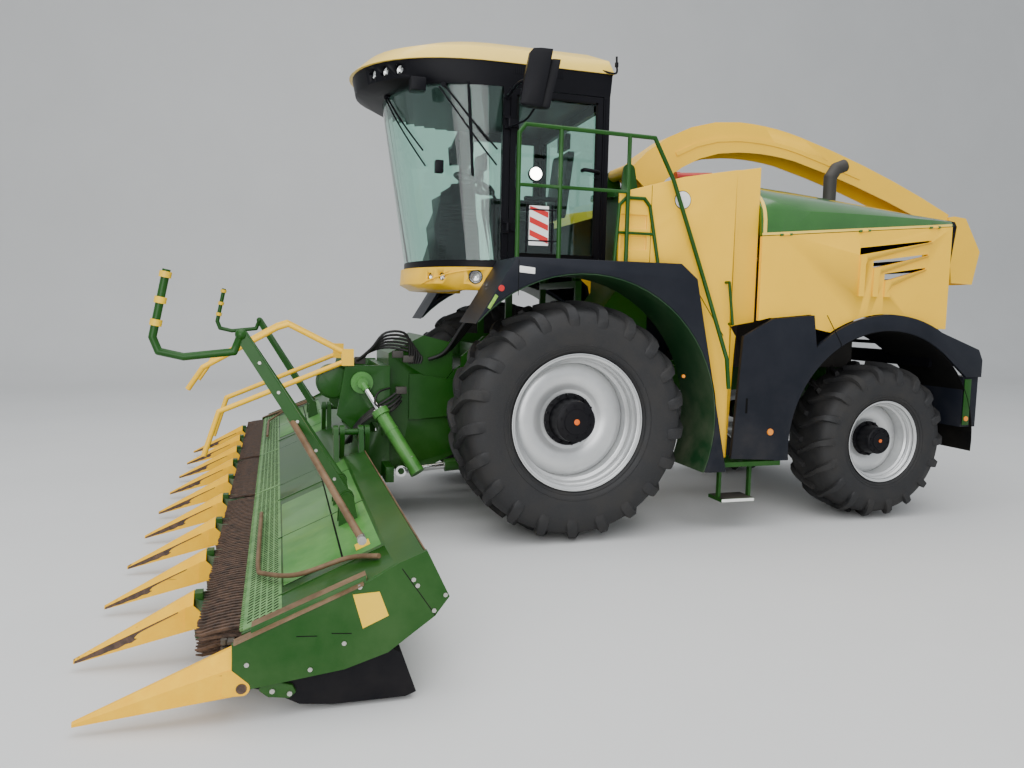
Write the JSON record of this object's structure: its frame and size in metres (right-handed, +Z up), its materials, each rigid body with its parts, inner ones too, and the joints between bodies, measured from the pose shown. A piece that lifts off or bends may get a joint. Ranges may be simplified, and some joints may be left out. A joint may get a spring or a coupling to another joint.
{
  "type": "self-propelled forage harvester with maize header",
  "caption": "Self-propelled forage harvester: cab, engine bay, swinging spout and a folding row-independent maize header on a lift.",
  "frame": {"origin": "centre of the whole machine's box, on the ground under the tyres", "axes": "+X forward, +Y to the machine's left, +Z up"},
  "size_m": [8.6236, 7.5, 4.131],
  "materials": {
    "green_paint": "gloss",
    "yellow_paint": "gloss",
    "black_paint": "satin",
    "bare_steel": "satin",
    "chrome_rod": "gloss",
    "tyre": "matte",
    "silver_paint": "satin",
    "dark_plastic": "satin",
    "glass": "gloss",
    "lamp_glass": "gloss",
    "seat_fabric": "matte",
    "worn_steel": "worn"
  },
  "bodies": {
    "machine": {"chassis": "green_paint", "rear_hitch": "green_paint", "front_axle": "green_paint", "rear_axle": "green_paint", "engine": "black_paint", "crop_channel": "green_paint", "cab_shell": "dark_plastic", "cab_roof": "yellow_paint", "roof_visor": "dark_plastic", "lamps": "lamp_glass", "cab_glass": "glass", "seat": "seat_fabric", "console": "dark_plastic", "mirrors": "dark_plastic", "cab_skirt": "yellow_paint", "fenders_front": "dark_plastic", "fenders_rear": "dark_plastic", "railing": "green_paint", "access_step": "green_paint", "cladding": "yellow_paint", "hood": "green_paint", "tail_grille": "dark_plastic", "rear_bumper": "dark_plastic", "exhaust": "bare_steel"},
    "knuckle_left": {"knuckle_left": "green_paint"},
    "knuckle_right": {"knuckle_right": "green_paint"},
    "wheel_front_left": {"tyre_front_left": "tyre", "rim_front_left": "silver_paint"},
    "wheel_front_right": {"tyre_front_right": "tyre", "rim_front_right": "silver_paint"},
    "wheel_rear_left": {"tyre_rear_left": "tyre", "rim_rear_left": "silver_paint"},
    "wheel_rear_right": {"tyre_rear_right": "tyre", "rim_rear_right": "silver_paint"},
    "cab_door": {"cab_door": "dark_plastic", "door_glass": "glass"},
    "engine_panel_left": {"engine_panel_left": "yellow_paint"},
    "engine_panel_right": {"engine_panel_right": "yellow_paint"},
    "spout_base": {"spout_base": "green_paint"},
    "spout_boom": {"spout_boom": "yellow_paint"},
    "spout_flap": {"spout_flap": "yellow_paint"},
    "header": {"feeder_housing": "green_paint", "header_frame": "green_paint", "wing_cylinders": "green_paint", "guard_hoops": "yellow_paint", "centre_deck": "green_paint", "centre_points": "yellow_paint", "centre_chain": "worn_steel"},
    "lift_barrels": {"lift_barrels": "green_paint"},
    "lift_rods": {"lift_rods": "chrome_rod"},
    "wing_left": {"wing_deck_left": "green_paint", "skid_left": "dark_plastic", "wing_chain_left": "worn_steel", "wing_points_left": "yellow_paint"},
    "wing_right": {"wing_deck_right": "green_paint", "skid_right": "dark_plastic", "wing_chain_right": "worn_steel", "wing_points_right": "yellow_paint"},
    "crop_bar_left": {"crop_bar_left": "green_paint"},
    "crop_bar_right": {"crop_bar_right": "green_paint"}
  },
  "joints": [
    {"name": "spin_front_left", "type": "hinge", "parent": "machine", "child": "wheel_front_left", "pos_m": [0.99177, 1.15, 0.985], "axis": [0, 1, 0], "continuous": true},
    {"name": "spin_front_right", "type": "hinge", "parent": "machine", "child": "wheel_front_right", "pos_m": [0.99177, -1.15, 0.985], "axis": [0, 1, 0], "continuous": true},
    {"name": "steer_left", "type": "hinge", "parent": "machine", "child": "knuckle_left", "pos_m": [-2.08823, 0.9, 0.735], "axis": [0, 0, 1], "range_deg": [-35, 35]},
    {"name": "steer_right", "type": "hinge", "parent": "machine", "child": "knuckle_right", "pos_m": [-2.08823, -0.9, 0.735], "axis": [0, 0, 1], "range_deg": [-35, 35]},
    {"name": "spin_rear_left", "type": "hinge", "parent": "knuckle_left", "child": "wheel_rear_left", "pos_m": [-2.08823, 1.1, 0.735], "axis": [0, 1, 0], "continuous": true},
    {"name": "spin_rear_right", "type": "hinge", "parent": "knuckle_right", "child": "wheel_rear_right", "pos_m": [-2.08823, -1.1, 0.735], "axis": [0, 1, 0], "continuous": true},
    {"name": "door", "type": "hinge", "parent": "machine", "child": "cab_door", "pos_m": [1.46177, 0.904, 2.99], "axis": [0, 0, -1], "range_deg": [0, 35]},
    {"name": "panel_left", "type": "hinge", "parent": "machine", "child": "engine_panel_left", "pos_m": [-0.67423, 1.384, 2.559], "axis": [0.9961, 0, -0.0882], "range_deg": [0, 70]},
    {"name": "panel_right", "type": "hinge", "parent": "machine", "child": "engine_panel_right", "pos_m": [-0.67423, -1.384, 2.559], "axis": [-0.9961, 0, 0.0882], "range_deg": [0, 70]},
    {"name": "spout_slew", "type": "hinge", "parent": "machine", "child": "spout_base", "pos_m": [0.03177, 0, 3], "axis": [0, 0, 1], "range_deg": [-100, 100]},
    {"name": "spout_lift", "type": "hinge", "parent": "spout_base", "child": "spout_boom", "pos_m": [0.04446, 0, 3.25118], "axis": [0, 1, 0], "range_deg": [0, 35]},
    {"name": "spout_flap", "type": "hinge", "parent": "spout_boom", "child": "spout_flap", "pos_m": [-3.88177, 0, 2.98188], "axis": [0, 1, 0], "range_deg": [-15, 50]},
    {"name": "header_lift", "type": "hinge", "parent": "machine", "child": "header", "pos_m": [1.55177, 0, 1.08], "axis": [0, -1, 0], "range_deg": [0, 10]},
    {"name": "lift_barrel", "type": "hinge", "parent": "machine", "child": "lift_barrels", "pos_m": [1.29177, 0, 0.56], "axis": [0, -1, 0], "range_deg": [-1, 8.64]},
    {"name": "lift_rod", "type": "slide", "parent": "lift_barrels", "child": "lift_rods", "axis": [0.996, 0, -0.0896], "range_m": [-0.01, 0.10168]},
    {"name": "fold_left", "type": "hinge", "parent": "header", "child": "wing_left", "pos_m": [2.73177, 0.843, 0.86], "axis": [1, 0, 0], "range_deg": [0, 90]},
    {"name": "fold_right", "type": "hinge", "parent": "header", "child": "wing_right", "pos_m": [2.73177, -0.843, 0.86], "axis": [-1, 0, 0], "range_deg": [0, 90]},
    {"name": "crop_bar_left", "type": "hinge", "parent": "wing_left", "child": "crop_bar_left", "pos_m": [2.92177, 2.5, 0.74], "axis": [0, 1, 0], "range_deg": [0, 50]},
    {"name": "crop_bar_right", "type": "hinge", "parent": "wing_right", "child": "crop_bar_right", "pos_m": [2.92177, -2.5, 0.74], "axis": [0, 1, 0], "range_deg": [0, 50]}
  ],
  "couplings": [
    {"joint": "steer_right", "follows": "steer_left", "ratio": 1},
    {"joint": "lift_barrel", "follows": "header_lift", "ratio": 0.76413},
    {"joint": "lift_rod", "follows": "header_lift", "m_per_rad": 0.52531},
    {"joint": "crop_bar_left", "follows": "fold_left", "ratio": 0.55556},
    {"joint": "crop_bar_right", "follows": "fold_right", "ratio": 0.55556}
  ]
}
